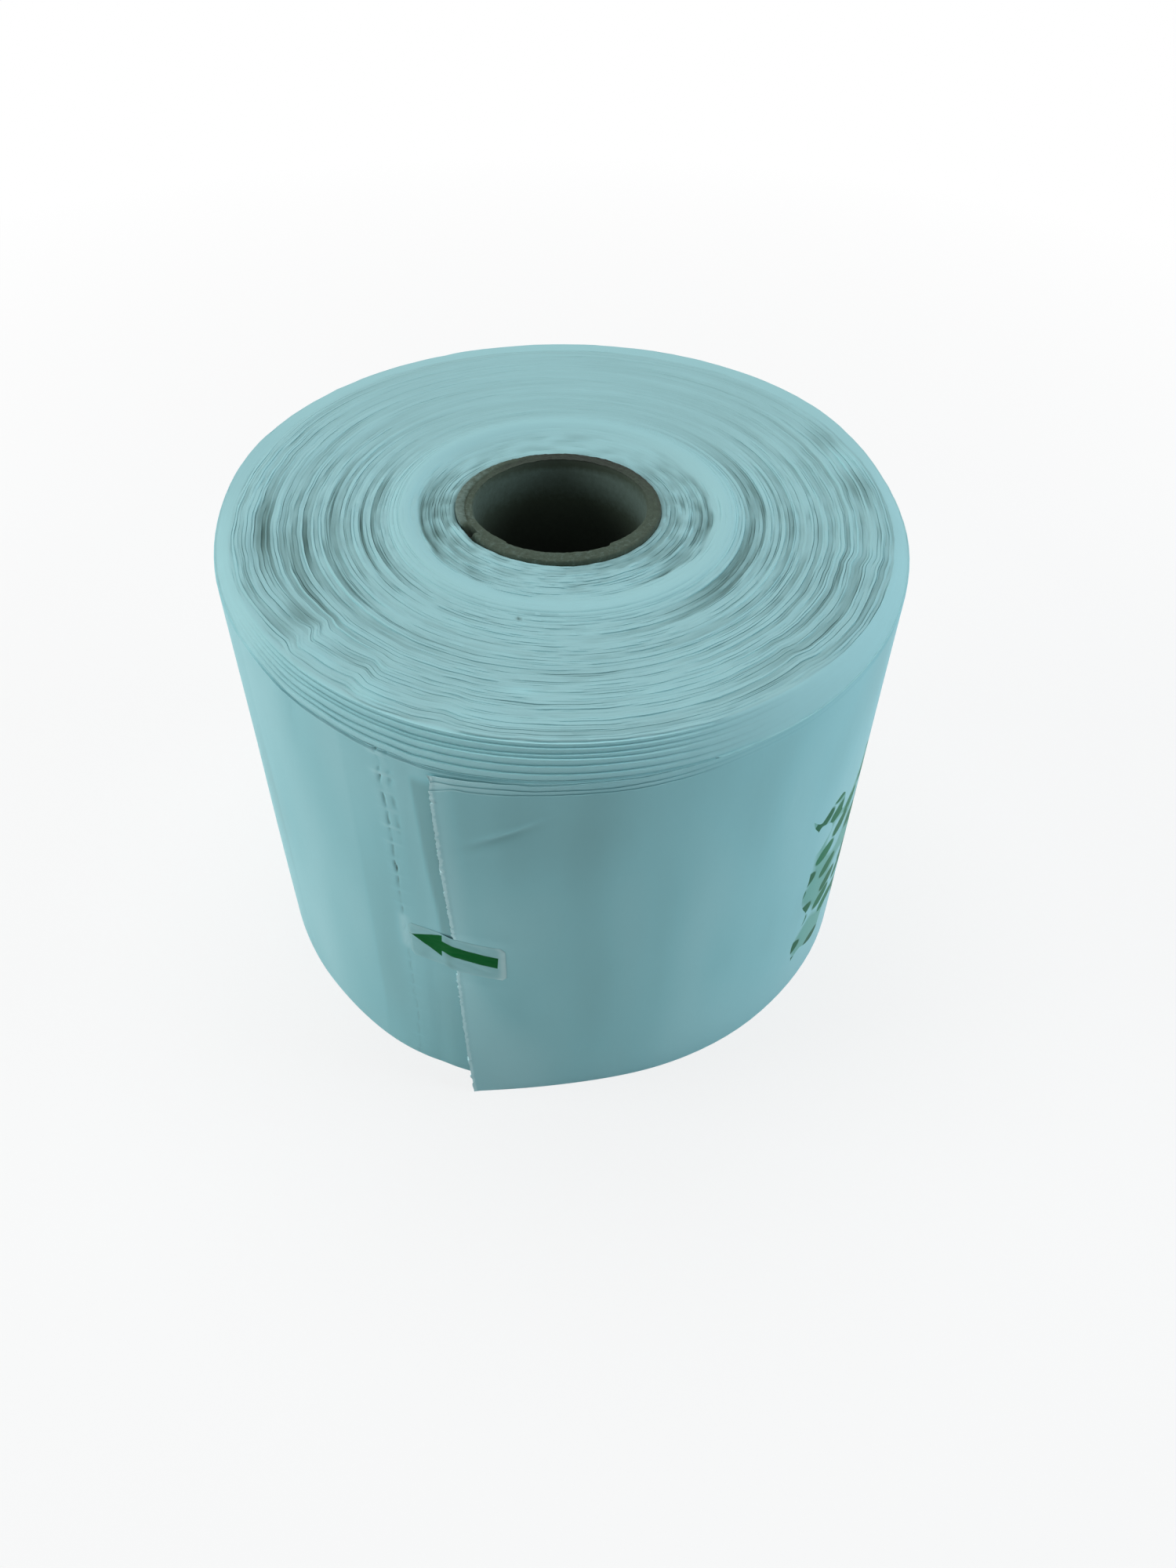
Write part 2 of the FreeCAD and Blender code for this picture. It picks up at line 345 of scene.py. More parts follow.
def sheetShade(angle, height, fromEdge):
    shade = 0.5 + 0.1 * ripple(angle / 9, height / 40, 8.0)
    if angle < 60:
        # painted highlight and painted shade along the folds
        shade += folds(lastTurn["foldLightAndShade"], arc(angle), height)
    if angle < build["rootAngle"]:
        # the torn edge: stretched white, and a painted highlight where it catches the light
        tuft = 0.8 + 0.9 * ripple(height / 1.1, 33.0)
        width = 0.35 + 0.5 * tuft
        shade += lastTurn["tuftWhiteAndHighlight"] * tuft * (1 - ease(fromEdge, width * 0.5, width))
        # painted light through the loose end, which stands off most of all at the bottom corner
        corner = ease(tapeLow.z - height, -2, 30)
        paleFrom, paleTo = 1 + 3 * corner, 6 + 16 * corner
        shade += lastTurn["standOffLight"] * (1 - ease(fromEdge, paleFrom, paleTo))
    if angle < 90:
        # painted light bounced up from the floor
        shade += lastTurn["floorBounceLight"] * (1 - ease(height, 0, 40))
    if angle > 325:
        beside = arc(looseEdge(height)[1] + 360 - angle)
        free = ease(beside, -2.5, -1.0)           # not where it lies under the loose end
        overTape = ease(height - tapeHigh.z, -1, 1)
        above = overTape * ease(plyEdge(angle, 0) - height, 2.0, 5.5)
        # painted shadow of the lifted loose edge, a grey strip beside it above the tape
        width = lastTurn["shadowStripWidth"] - 1.6 * bell(height - 52, 16)
        shade -= lastTurn["shadowStripShade"] * above * free * ease(width + 0.6 - beside, 0, 1.4)
        # broad painted shadow below the tape, where the loose end's corner stands off
        shade -= lastTurn["underTapeShadow"] * (1 - overTape) * free * ease(11 - beside, 0, 8)
        # painted shade in the slits, painted highlights on the ties between them
        shade += perforation(angle, height, lastTurn["rowLightAndShade"])
        # painted highlight on the film drawn up round the left end of the tape
        offTape = max(abs(height - (tapeLow.z + tapeHigh.z) / 2 - 2.0) - 4.5, 0)
        shade += lastTurn["tapeEndHighlight"] * bell(beside - 12.2, 1.3) * bell(offTape, 1.5)
    elif angle > 300:
        shade += lastTurn["leftPale"]
    return shade


def columnAngles(zones):
    angles = []
    for (start, step), (end, _) in zip(zones, zones[1:]):
        count = round((end - start) / step)
        angles += [start + (end - start) * i / count for i in range(count)]
    return angles + [zones[-1][0]]


def plyEdge(angle, ply):
    drop = through(lastTurn["plyTops"][ply], angle)
    return crownHeight - drop + lastTurn["plyWaves"] * wander(angle, ply * 3.0, 26.0, 51.0)


def atFront(angle):                 # 1 where the stepped edges are plain to see, 0 elsewhere
    x = apart(angle, -7)
    return (1 - ease(x, 14, 46)) * (1 - ease(-x, 28, 60))


def edgeRows(angle):                # (height, step in, shade) up over the stepped plies
    thick = lastTurn["ply"]
    plain = atFront(angle)
    tops = [plyEdge(angle, ply) for ply in range(3)]
    # the plies' top edges are paler, whitened cut film with a painted highlight, and a little
    # painted shade lies in the groove behind each
    pale = 0.04 + plain * (0.1 + 0.18 * bell(angle + 16, 9))
    # no groove under the loose end
    groove = lastTurn["plyGroove"] * plain * (1 - ease(angle, 340, 360))
    rows = [(tops[0], 0.0, pale)]
    for ply in (1, 2):
        low, high = tops[ply - 1:ply + 1]
        slope = (1 - plain) * (high - low)
        rows += [(low - groove + 0.7 * slope, (ply - 0.2) * thick, -0.02 * plain),
                 (low + 0.05 * plain + 0.9 * slope, ply * thick, 0.04 + 0.08 * plain),
                 (high, ply * thick, pale)]
    return rows


def lastTurnPiece():
    angles = columnAngles(lastTurn["columns"])
    plain = lastTurn["rows"]
    edges = [edgeRows(angle) for angle in angles]
    tail, root = build["tailAngle"], build["rootAngle"]

    def place(column, row, onBack):
        base = angles[column]
        top = edges[column][0][0]
        share = row / plain         # the rows lie closer together towards the top
        height, stepIn, pale = top * share * (1.3 - 0.3 * share), 0.0, 0.0
        if row >= plain:
            height, stepIn, pale = edges[column][row - plain]
        if onBack:
            height = max([height] + [edge[0] for edge in edges[column][:max(0, row - plain)]])
            stepIn = build["turnThickness"]
            if row == plain + len(edges[0]) - 1:
                height += (1 - atFront(base)) * lastTurn["ply"]
        angle, fromEdge = base, math.inf
        if base < root:
            edge = looseEdge(height)[1]
            angle = edge + (base - tail) * (root - edge) / (root - tail)
            fromEdge = arc(base - tail)
        radius = surfaceRadius(angle, height) - stepIn + wrinkles(angle, height)
        taped = tapeLow.z - 0.3 < height < tapeHigh.z + 0.3
        if fromEdge < lastTurn["frayWidth"] and not taped:
            torn = 1 - fromEdge / lastTurn["frayWidth"]
            ragged = ripple(height / 0.8, 7.0 if onBack else 3.0)
            angle += torn * ragged * lastTurn["fray"]
            radius += torn * (lastTurn["frayLift"] + 0.25 * ragged)
        shade = sheetShade(angle, height, fromEdge) + pale
        return onRoll(radius, angle, height), shade, (arc(base - tail), height)

    bm = bendSheet(len(angles) - 1, plain + len(edges[0]) - 1, place, "filmMap")
    look = "polyethyleneFilmSheet", printedFilm
    finishPiece("lastTurn", bm, look, "bag_web", 50)


# The turns under it: the worn end face, the terraces of the shoulder, the hollow underside
turns = {
    "play": 0.03,             # under the last turn
    "bundles": 70,            # steps across the end face, each a few turns wide
    "crackWidth": 0.16,
    "crackDepth": 0.5,
    "faceEdge": 71.0,         # radius where the end face ends and the shoulder begins
    "edgeDrop": 0.35,
    # drop of each film edge on the shoulder, as a share of the last turn's own drop there
    "shoulder": (0.05, 0.15, 0.31, 0.38, 0.58, 0.74),
    "rootBlend": 26.0,        # degrees over which the terraces spread out past the root
    "wallBlend": 0.7,         # and their outer wall, which takes over from the last turn there
    # bundles that lie lower: radius, half width, how deep at the left and at the right
    "valleys": ((69.0, 0.7, 0.5, 0.3), (67.0, 0.6, 0.3, 0.45), (64.4, 1.4, 0.9, 0.55),
                (60.6, 0.8, 0.25, 0.85), (58.4, 0.9, 0.85, 0.2), (56.9, 0.6, 0.1, 0.55),
                (55.2, 0.9, 0.65, 0.15), (53.7, 0.8, 0.1, 0.7), (50.8, 0.9, 0.75, 0.2),
                (49.0, 0.9, 0.5, 0.6), (46.5, 0.8, 0.7, 0.3), (43.6, 0.7, 0.7, 0.5),
                (41.8, 1.9, 0.3, 1.1), (40.6, 0.9, 1.0, 0.4), (38.9, 0.5, 0.5, 0.4)),
    "byTube": 0.5,            # how far the film stands up beside the tube
    "ridge": 1.1,             # height of the smooth ridge round the tube
    "ridgeWidth": 3.0,
    # angle, radius, depth, run-in: where the folds of the bags stack up and kink the turns
    "kinks": ((-51.0, 65.5, 2.6, 17.0), (-36.0, 66.0, 1.9, 15.0), (-19.0, 66.5, 1.1, 15.0),
              (42.0, 65.5, 1.1, 17.0), (72.0, 64.5, 0.9, 14.0)),
    # angle, radius, their half widths, and how much darker: darker and paler patches, those round
    # the kinks painted shade and painted highlights
    "patches": ((-80.0, 63.0, 7.0, 3.2, 0.1), (-55.0, 64.5, 4.0, 1.6, 0.2),
                (98.0, 66.5, 5.0, 4.0, 0.22), (115.0, 67.0, 4.0, 3.6, 0.18),
                (107.0, 66.5, 3.0, 3.0, -0.2), (-30.0, 69.8, 4.0, 1.6, -0.3),
                (-7.6, 58.5, 3.5, 1.2, -0.3), (-42.0, 68.0, 3.0, 2.0, -0.2),
                (-13.0, 38.6, 0.8, 0.4, 0.6)),
    "backRise": 1.2,          # of the outer turns' edges, halfway to the back at each side
    "tilt": 0.85,             # of the film by the tube: up at the front, down at the back
    "lean": (-0.7, 0.6),      # how far the top of the tube is off the roll's axis
    "stretch": 0.9,           # how far the film stands back from the tube's loose ply
    # how strong the wander of the film edges is all round, more at the front, more at the sides
    "bands": (0.1, 0.0, 0.14),
    "steps": (0.04, 0.11, 0.07),
    "fine": (0.02, 0.11, 0.0),
    "crumple": 0.2,           # of the film inside the ridge
    "sagShade": 0.26,         # painted shade: how much darker a bundle is that lies 1 mm low
    "sideShade": 0.24,        # painted shade on the film inside the ridge, at both sides
    "besideTubeShadow": 0.24,        # and painted shadow where it is pressed smooth by the tube
    "columns": ((-100, 0.75), (100, 2.0), (260, 0)),
    "lap": 0.12,              # of the shoulder over the last turn at the sides
    "wobble": 0.3,            # of the outer turns to both sides
    "floorRing": 73.5,
    "underSteps": 18,
    "pressedFrom": 71.5,      # radius from which the turns are pressed down to the floor
    "pressedSlope": 4.5,
    "offFloor": 0.3,          # of the lowest edges under the roll
}


def bundleEdges():
    rng = random.Random(17)
    widths = [0.45 + rng.random() for _ in range(turns["bundles"])]
    inner, outer = holeRadius + 0.4, turns["faceEdge"]
    scale = (outer - inner) / sum(widths)
    edges = [inner]
    for width in widths:
        edges.append(edges[-1] + width * scale)
    return edges


bundleEnds = bundleEdges()    # radii where one bundle ends and the next begins


def besides(angle):           # how far an angle is to the left, and to the right
    return bell(apart(angle, -76), 38), bell(apart(angle, 74), 43)


def towardsFront(angle):
    return 1 - ease(abs(apart(angle, 0)), 95, 140)


def band(x, half):            # 1 inside the half width, with a narrow slope at its edges
    return 1 - ease(abs(x), half - 0.16, half + 0.16)


def tubeTilt(radius, angle):
    return turns["tilt"] * math.cos(math.radians(angle)) * (1 - ease(radius, 24, 36))


def kink(radius, angle):      # how far a turn is pushed in, and how far its edge is raised
    push, lift = 0.0, 0.0
    for where, middle, depth, runIn in turns["kinks"]:
        x = apart(angle, where)
        near = bell(radius - middle, 6.0)
        run = max(0, 1 + x / runIn) ** 1.2 if x <= 0 else 1 - ease(x, 0, 4.2)
        push -= depth * run * near
        lift += near * (0.4 * bell(x - 5.0, 3.0) - 0.3 * bell(x + 3, 4.5)) * depth / 2
    return push, lift


def rimStretch(radius, angle):   # the turns at the left stand back from the tube's loose ply
    return turns["stretch"] * bell(apart(angle, -100), 42) * ease(28 - radius, 0, 5)


# The tube's top is off the middle, and the film by it goes with it; at is its radius unstretched
def leanOnRoll(radius, angle, height, at):
    share = height / crownHeight * (1 - ease(at, 24, 40))
    return onRoll(radius, angle, height) + Vector((*turns["lean"], 0.0)) * mm * share


def ridgeMiddle(angle):
    left, right = besides(angle)
    return 35.0 - 0.8 * left + 0.9 * right


def sagging(here, angle, left, right):   # how much lower a bundle of turns lies, in steps
    sag = 0.0
    for middle, width, atLeft, atRight in turns["valleys"]:
        depth = 0.04 + atLeft * left + atRight * right
        depth *= 0.85 + 0.9 * wander(angle, middle * 1.7, 2.2, 57.0)
        sag += depth * band(here - middle, width)
    return sag


def endFace(radius, angle, bundle):      # height and shade of the worn end face
    left, right = besides(angle)
    side, front = left + right, towardsFront(angle)
    back = 1 - front
    fromRidge = radius - ridgeMiddle(angle)
    onRidge = bell(fromRidge, turns["ridgeWidth"])
    smooth = 1 - 0.92 * onRidge
    shift = 0.7 * wander(angle, radius / 11, 1.6, 15.0)
    here = (bundleEnds[bundle] + bundleEnds[bundle + 1]) / 2     # a bundle sinks as one
    sag = sagging(here + shift, angle, left, right)
    bands = wander(angle, radius / 2.1, 1.4, 3.0)
    steps = wander(angle, bundle * 7.31, 1.8, 11.0)
    fine = wander(angle, bundle * 3.7, 11.0, 23.0)
    bands, steps, fine = (
        wave * (turns[kind][0] + turns[kind][1] * front + turns[kind][2] * side)
        for wave, kind in ((bands, "bands"), (steps, "steps"), (fine, "fine")))
    height = turns["ridge"] * onRidge - 0.2 * sag + smooth * (bands + steps + fine)
    rise = 0.5 * back + 0.5 * bell(abs(apart(angle, 0)) - 122, 30)
    height += turns["backRise"] * rise * ease(radius, 44, 72)
    # painted shade on the bundles that lie low, a little more at the left
    shade = 0.52 - (turns["sagShade"] + 0.08 * left) * sag
    # painted light and shade by where the lamps fall: paler at the front, darker at the back and
    # at the sides
    shade += 0.03 * front - 0.06 * back - 0.02 * side - 0.02 * left
    # painted light and shade following the relief, and a painted highlight on the ridge
    shade += smooth * (0.4 * bands + 0.9 * steps + 0.5 * fine) + 0.14 * onRidge
    if fromRidge < 0:
        crumple = wander(angle, radius / 2.4, 6.0, 41.0)
        crumple += 0.5 * wander(angle, radius / 0.9, 5.0, 43.0)
        line = side * band(fromRidge + 3.9 + 1.2 * wander(angle, 0.0, 3.0, 44.0), 0.6)
        calm = bell(apart(angle, 58), 52) * (1 - ease(radius, 24.2, 26.0))
        near = ease(-fromRidge, 2.0, 5.0) * (1 - calm)
        height += near * crumple * (turns["crumple"] + 0.12 * side) - 0.25 * line - 0.35 * calm
        # painted light and shade following the crinkles; painted shade at both sides, in the
        # groove and beside the tube
        shade += near * (crumple * (0.13 + 0.1 * side) - turns["sideShade"] * side)
        shade -= 0.16 * line + turns["besideTubeShadow"] * calm
    for where, middle, angleWidth, width, darker in turns["patches"]:
        shade -= darker * bell(apart(angle, where), angleWidth) * bell(radius - middle, width)
    height += turns["byTube"] * bell(radius - holeRadius, 3.0) + tubeTilt(radius, angle)
    height -= turns["edgeDrop"] * ease(radius, turns["faceEdge"] - 2.5, turns["faceEdge"])
    return crownHeight + height, shade


def alongTurn(angle):         # the angle along the last turn that lies over an angle
    return angle if angle >= build["rootAngle"] else angle + 360


def wallRadius(angle, blend):        # just inside the last turn
    past = alongTurn(angle) - build["rootAngle"]
    under = (build["turnStep"] - build["slack"]) * (1 - ease(past, 0, blend))
    step = max(windIn(alongTurn(angle)), under)
    return rollRadius - step - build["turnThickness"] - turns["play"]


def terrace(angle, number):   # height of a film edge on the shoulder
    drop = through(lastTurn["plyTops"][2], alongTurn(angle)) * turns["shoulder"][number]
    wave = 0.6 * wander(angle, number * 4.3, 2.2, 7.0) + 0.12 * wander(angle, number, 20.0, 9.0)
    return crownHeight - turns["edgeDrop"] - drop + wave * min(1, max(0, drop / 4))


def shoulderSlope(angle, share):   # the plain slope that the terraces fade into at the sides
    edge = endFace(turns["faceEdge"], angle, turns["bundles"] - 1)[0]
    low = plyEdge(alongTurn(angle), 2) + lastTurn["ply"]
    return edge + (low - edge) * share ** 1.3


# The closed section of the wound film, from the bore over the end face and down the outside
# to the underside: what each ring is, its number, and a radius or height
def turnRings():
    rings = [("boreFoot", 0, 0), ("boreTop", 0, 0)]
    gap = turns["crackWidth"] / 2
    for number, (start, end) in enumerate(zip(bundleEnds, bundleEnds[1:])):
        rings += [("top", number, start + gap), ("top", number, end - gap), ("crack", number, end)]
    for number in range(len(turns["shoulder"])):
        rings += [("terrace", number, 0.2), ("terrace", number, 0.98), ("low", number, 1.0),
                  ("gap", number, 1.03)]
    rings += [("wall", 0, 60.0), ("wall", 0, 0.0), ("foot", 0, turns["floorRing"])]
    inward = (turns["floorRing"] - holeRadius) / turns["underSteps"]
    for number in range(turns["underSteps"]):
        outer = turns["floorRing"] - inward * number
        rings += [("under", number, outer - 0.01), ("under", number, outer - inward + 0.3)]
    return rings


def onEndFace(part, number, value, angle):
    side = sum(besides(angle))
    grain = 0.15 + 0.45 * towardsFront(angle)
    grain *= 1 - 0.85 * bell(value - ridgeMiddle(angle), turns["ridgeWidth"])
    push, lift = kink(value, angle)
    wobble = turns["wobble"] * wander(angle, value / 6, 12.0, 5.0) * ease(value, 40, 66)
    radius = value + push + wobble + rimStretch(value, angle)
    height, shade = endFace(value - 0.1, angle, number)
    if part == "top":
        # a painted highlight where a kink raises the edge
        return leanOnRoll(radius, angle, height + lift, value), shade + 0.25 * lift, grain
    outside = endFace(value + 0.1, angle, min(number + 1, turns["bundles"] - 1))[0]
    gape = max(0, 0.1 + 0.05 * side + 1.2 * wander(angle, number * 5.1, 4.0, 31.0))
    deep = turns["crackDepth"] * (0.04 + gape) * grain
    height = min(height, outside) + lift - deep
    # painted shade in the cracks
    return leanOnRoll(radius, angle, height, value), shade - 0.8 * deep, grain


def onShoulder(part, number, value, angle):
    count = len(turns["shoulder"])
    within, wall = (wallRadius(angle, turns[kind]) for kind in ("rootBlend", "wallBlend"))
    radius = turns["faceEdge"] + (within - turns["faceEdge"]) / count * (number + value)
    last = number + 1 == count
    plain = atFront(angle)
    here = terrace(angle, number)
    below = min(here, plyEdge(alongTurn(angle), 2) if last else terrace(angle, number + 1))
    # the gap before the last turn closes towards the root of the loose end
    shut = 1 - ease(build["rootAngle"] - angle, 1, 20) if last else 0
    # terrace tops paler and the gaps under them darker: painted light and painted shade
    height, paler = {"terrace": (here, 0.06 if value > 0.5 else -0.08),
                     "low": (min(here - 0.02, below + 0.25 - 0.2 * shut), 0.0),
                     "gap": (below - 0.12 + 0.1 * shut, -0.3 + 0.3 * shut)}[part]
    slope = shoulderSlope(angle, min(1, (number + value) / count))
    height = slope + (height - slope) * plain
    if last and part != "terrace":       # it laps over the last turn at the sides
        radius += turns["lap"] * (1 - plain) + (wall - within if part == "gap" else 0)
        height += 0.03 * (1 - plain)
    # painted light and shade by where the lamps fall: paler at the front, darker at the sides
    shade = 0.58 + 0.38 * bell(apart(angle, 0), 52) + paler * plain
    return onRoll(radius, angle, height), shade, 0.3


def woundTurns():
    rings = turnRings()
    angles = columnAngles(turns["columns"])

    def place(column, row):
        angle = angles[column]
        part, number, value = rings[row]
        if part == "boreFoot":
            height = crownHeight - 0.5 - bagWidth
            return leanOnRoll(holeRadius, angle, height, holeRadius), 0.4, 1
        if part == "boreTop":
            radius = holeRadius + rimStretch(holeRadius, angle)
            height = endFace(holeRadius, angle, 0)[0] - 0.3
            return leanOnRoll(radius, angle, height, holeRadius), 0.3, 1
        if part in ("top", "crack"):
            return onEndFace(part, number, value, angle)
        if part in ("terrace", "low", "gap"):
            return onShoulder(part, number, value, angle)
        if part == "wall":
            return onRoll(wallRadius(angle, turns["wallBlend"]), angle, value), 0.4, 0
        if part == "foot":
            return onRoll(value, angle, 0.0), 0.4, 0
        height = endFace(value, angle, turns["bundles"] - 1 - number * 3)[0] - bagWidth
        height -= max(0, value - turns["pressedFrom"]) * turns["pressedSlope"]
        return leanOnRoll(value, angle, max(turns["offFloor"], height), value), 0.5, 1

    bm = bendRing(len(angles) - 1, len(rings), place)
    look = "polyethyleneFilmEdges", wornFilmEdges
    finishPiece("woundTurns", bm, look, "bag_web", 55)


film = {
    "base": "#a3d0d4",        # milky blue-green of thin high-density polyethylene in a stack
    "deep": "#5d7d7a",        # where light is lost between the edges
    "pale": "#afe4e9",        # stressed or frayed film turns whiter, and painted highlights run towards it
    "sheet": "#97cfd5",
    # the last turn's shade runs towards these: painted shadow and shade, painted light and
    # highlights, and the torn edge stretched white
    "sheetDeep": "#637f7c",
    "sheetPale": "#c5edf1",
    "green": "#005a3c",
    "streak": 0.45,           # mm between film edges, drawn coarser than the real film
    "blotch": 20.0,           # mm across the paler and darker patches
    "sheetWaves": (0.09, 0.03),    # of them in a mm, round the roll and up it
    "waveHeight": 0.6,
    "roughness": 0.5,
    "sheetRoughness": 0.45,
    "ior": 1.54,              # of polyethylene
    "gloss": 0.05,            # specular level: the film is embossed, and duller than its plastic
}


# The shade that the mesh carries, turned into a colour: deep, plain, pale
def shadeColour(tree, factor, deep, plain, pale):
    ramp = addNode(tree, "ValToRGB", links={"Fac": factor})
    ramp.color_ramp.elements[0].color = linear(deep)
    ramp.color_ramp.elements[1].color = linear(pale)
    ramp.color_ramp.elements.new(0.5).color = linear(plain)
    return ramp.outputs["Color"]


# A pattern over the shade and the grain that the mesh carries: its colour and its relief
def patterned(tree, value, spread, pattern, colours, strength, depth):
    carried = addNode(tree, "Attribute", {"attribute_name": "shade"})
    grain = addNode(tree, "Attribute", {"attribute_name": "grain"})
    low, high, much = spread
    change = addNode(tree, "MapRange", links={"Value": value}, From_Min=low, From_Max=high,
                     To_Min=-much, To_Max=much)
    shade = addNode(tree, "Math", {"operation": "MULTIPLY_ADD"},
                    {0: change, 1: grain.outputs["Fac"], 2: carried.outputs["Fac"]})
    relief = addNode(tree, "Math", {"operation": "MULTIPLY"},
                     {0: pattern, 1: grain.outputs["Fac"]})
    bump = addNode(tree, "Bump", links={"Height": relief}, Strength=strength, Distance=depth * mm)
    return shadeColour(tree, shade, *colours), bump


def wornFilmEdges(tree):
    # High-density polyethylene film seen at its cut and folded edges: milky, matt, and finely
    # streaked round the roll by the many thin edges.
    coords = addNode(tree, "TexCoord")
    flat = addNode(tree, "VectorMath", {"operation": "MULTIPLY"}, {0: coords.outputs["Object"]},
                   i1=(1.0, 1.0, 0.0))
    radius = addNode(tree, "VectorMath", {"operation": "LENGTH"}, {0: flat})
    way = addNode(tree, "VectorMath", {"operation": "NORMALIZE"}, {0: flat})
    waySplit = addNode(tree, "SeparateXYZ", links={0: way})
    along = addNode(tree, "CombineXYZ",
                    links={"X": radius.outputs["Value"], "Y": waySplit.outputs["X"],
                           "Z": waySplit.outputs["Y"]})
    stretch = addNode(tree, "VectorMath", {"operation": "MULTIPLY"}, {0: along},
                      i1=(1 / (film["streak"] * mm), 5.0, 5.0))
    streaks = addNode(tree, "TexNoise", links={"Vector": stretch}, Scale=1.0, Detail=2.0,
                      Roughness=0.6)
    blotches = addNode(tree, "TexNoise", links={"Vector": coords.outputs["Object"]},
                       Scale=1 / (film["blotch"] * mm), Detail=3.0, Roughness=0.55)
    both = addNode(tree, "Math", {"operation": "ADD"}, {0: streaks, 1: blotches})
    colours = film["deep"], film["base"], film["pale"]
    tint, bump = patterned(tree, both, (0.6, 1.4, 0.16), streaks, colours, 0.4, 0.25)
    return addNode(tree, "BsdfPrincipled", links={"Base Color": tint, "Normal": bump},
                   Roughness=film["roughness"], IOR=film["ior"], Specular_IOR_Level=film["gloss"])


# The print: scattered slanted ovals in a field round the right of the roll
printField = {
    "middle": (153.0, 38.0),      # mm from the loose edge, and over the floor
    "half": (66.0, 24.0),
    "oval": (12.0, 6.5),          # mm from one to the next, across and up
    "ovalEdge": (0.34, 0.42),     # where the ink ends, as a share of that
    "slant": 3.0,
    "drift": (22.0, 26.0),        # mm by which the field's edge and its thin ink wander
    "waves": 0.09,                # of them in a mm
    "light": "#067a54",
    "wash": "#4b9a80",            # thin ink between the ovals
    "washStrength": 0.6,
}


def printMask(tree, place):
    drift, middle = printField["drift"], printField["middle"]
    wobble = addNode(tree, "TexNoise", links={"Vector": place}, Scale=printField["waves"],
                     Detail=0.0)
    drifted = addNode(tree, "VectorMath", {"operation": "MULTIPLY_ADD"},
                      {0: wobble.outputs["Color"], 2: place}, i1=(*drift, 0.0))
    inField = addNode(tree, "VectorMath", {"operation": "SUBTRACT"}, {0: drifted},
                      i1=(middle[0] + drift[0] / 2, middle[1] + drift[1] / 2, 0.0))
    share = addNode(tree, "VectorMath", {"operation": "DIVIDE"}, {0: inField},
                    i1=(*printField["half"], 1.0))
    size = addNode(tree, "VectorMath", {"operation": "ABSOLUTE"}, {0: share})
    parts = addNode(tree, "SeparateXYZ", links={0: size})
    furthest = addNode(tree, "Math", {"operation": "MAXIMUM"},
                       {0: parts.outputs["X"], 1: parts.outputs["Y"]})
    field = addNode(tree, "Math", {"operation": "LESS_THAN"}, {0: furthest}, i1=1.0)
    turned = addNode(tree, "Mapping", {"vector_type": "TEXTURE"}, {"Vector": place},
                     Rotation=(0.0, 0.0, math.radians(printField["slant"])),
                     Scale=(*printField["oval"], 1.0))
    ovals = addNode(tree, "TexVoronoi", {"voronoi_dimensions": "2D"}, {"Vector": turned},
                    Scale=1.0, Randomness=0.75)
    edge = printField["ovalEdge"]
    inOval = addNode(tree, "MapRange", links={"Value": ovals.outputs["Distance"]},
                     From_Min=edge[0], From_Max=edge[1], To_Min=1.0, To_Max=0.0)
    greens = addNode(tree, "Mix", {"data_type": "RGBA"}, {"Factor": ovals.outputs["Color"]},
                     i6=linear(film["green"]), i7=linear(printField["light"]))
    thin = addNode(tree, "MapRange", links={"Value": wobble}, From_Min=0.46, From_Max=0.56,
                   To_Max=printField["washStrength"])
    ink = addNode(tree, "Math", {"operation": "MAXIMUM"}, {0: inOval, 1: thin})
    mask = addNode(tree, "Math", {"operation": "MULTIPLY"}, {0: field, 1: ink})
    inks = addNode(tree, "Mix", {"data_type": "RGBA"}, {"Factor": inOval, 7: greens.outputs[2]},
                   i6=linear(printField["wash"]))
    return mask, inks.outputs[2]


def printedFilm(tree):
    # The same film lying flat as the outer turn: smoother, a little glossier, with soft waves
    # and a print in green.
    place = addNode(tree, "UVMap", {"uv_map": "filmMap"})
    carried = addNode(tree, "Attribute", {"attribute_name": "shade"})
    tint = shadeColour(tree, carried.outputs["Fac"],
                       film["sheetDeep"], film["sheet"], film["sheetPale"])
    mask, greens = printMask(tree, place)
    inked = addNode(tree, "Mix", {"data_type": "RGBA"}, {"Factor": mask, 6: tint, 7: greens})
    stretch = addNode(tree, "VectorMath", {"operation": "MULTIPLY"}, {0: place},
                      i1=(*film["sheetWaves"], 1.0))
    waves = addNode(tree, "TexNoise", links={"Vector": stretch}, Scale=1.0, Detail=3.0)
    bump = addNode(tree, "Bump", links={"Height": waves}, Strength=0.4,
                   Distance=film["waveHeight"] * mm)
    return addNode(tree, "BsdfPrincipled", links={"Base Color": inked.outputs[2], "Normal": bump},
                   Roughness=film["sheetRoughness"], IOR=film["ior"],
                   Specular_IOR_Level=film["gloss"])


